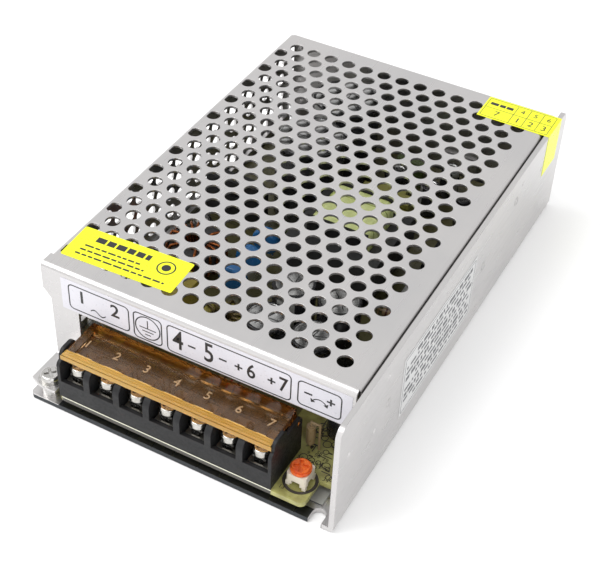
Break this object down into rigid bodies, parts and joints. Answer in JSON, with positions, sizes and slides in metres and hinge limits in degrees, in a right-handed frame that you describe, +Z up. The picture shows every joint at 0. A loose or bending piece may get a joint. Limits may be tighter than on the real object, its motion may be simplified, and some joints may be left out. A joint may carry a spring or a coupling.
{
  "type": "mesh case switching power supply",
  "caption": "Enclosed switching power supply: folded aluminium chassis, perforated cover, flip-lid screw terminal block, trimmer and full inner board.",
  "frame": {"origin": "middle of the underside of the base plate, with the case 98 mm wide and 159 mm long centred on it", "axes": "+X along the terminals from left to right seen from the front, +Y from the terminals to the rear, +Z up from the base"},
  "size_m": [0.0982, 0.159, 0.0382],
  "materials": {
    "folded_aluminium": "mill finish sheet, satin",
    "cover_sheet": "mill finish sheet, satin, punched",
    "zinc_steel": "bright zinc",
    "milky_film": "matt film",
    "board_laminate": "yellow-green paper laminate with varnish",
    "white_film": "printed film",
    "yellow_film": "printed film",
    "black_moulding": "satin moulding",
    "nickel_plate": "nickel plate",
    "amber_plastic": "clear amber moulding",
    "white_moulding": "smooth moulding",
    "orange_moulding": "smooth moulding",
    "fuse_glass": "clear glass with plated caps",
    "green_coating": "dipped coating",
    "yellow_moulding": "smooth moulding",
    "black_ferrite": "ground ferrite",
    "copper_wire": "enamelled copper",
    "blue_coating": "dipped coating",
    "black_sleeve": "shrink sleeve, bright aluminium top",
    "yellow_tape": "polyester tape",
    "grey_rubber": "silicone pad",
    "yellow_core": "coated iron powder",
    "beige_coating": "lacquer"
  },
  "bodies": {
    "case": {"chassis": "folded_aluminium", "mesh_cover": "cover_sheet", "cover_screws": "zinc_steel", "insulation_sheet": "milky_film", "board_standoffs": "zinc_steel", "circuit_board": "board_laminate", "board_screws": "zinc_steel", "board_washers": "zinc_steel", "front_label": "white_film", "yellow_label": "yellow_film", "seal_label": "yellow_film", "rating_label": "white_film", "terminal_block": "black_moulding", "terminal_plates": "nickel_plate", "wire_clamps": "nickel_plate", "terminal_screws": "nickel_plate", "trimmer_body": "white_moulding", "fuse_clips": "nickel_plate", "fuse": "fuse_glass", "thermistor": "green_coating", "yellow_capacitor": "yellow_moulding", "choke_core": "black_ferrite", "choke_windings": "copper_wire", "blue_capacitors": "blue_coating", "bridge_rectifier": "black_moulding", "input_capacitors": "black_sleeve", "transformer_core": "black_ferrite", "transformer_winding": "yellow_tape", "transformer_bobbin": "black_moulding", "power_transistors": "black_moulding", "output_rectifier": "black_moulding", "insulating_pads": "grey_rubber", "clamp_bars": "zinc_steel", "clamp_screws": "zinc_steel", "output_choke_core": "yellow_core", "output_choke_winding": "copper_wire", "output_capacitors": "black_sleeve", "control_chip": "black_moulding", "optocoupler": "white_moulding", "drive_transformer": "yellow_tape", "small_capacitors": "black_sleeve", "film_capacitors": "green_coating", "resistors": "beige_coating"},
    "lid": {"terminal_lid": "amber_plastic"},
    "dial": {"trimmer_dial": "orange_moulding"}
  },
  "joints": [
    {"name": "lid_hinge", "type": "hinge", "parent": "case", "child": "lid", "pos_m": [-0.00295, -0.0644, 0.0166], "axis": [-1, 0, 0], "range_deg": [0, 45]},
    {"name": "dial_turn", "type": "hinge", "parent": "case", "child": "dial", "pos_m": [0.0354, -0.0722, 0.01], "axis": [0, 0, 1], "range_deg": [-130, 130]}
  ]
}
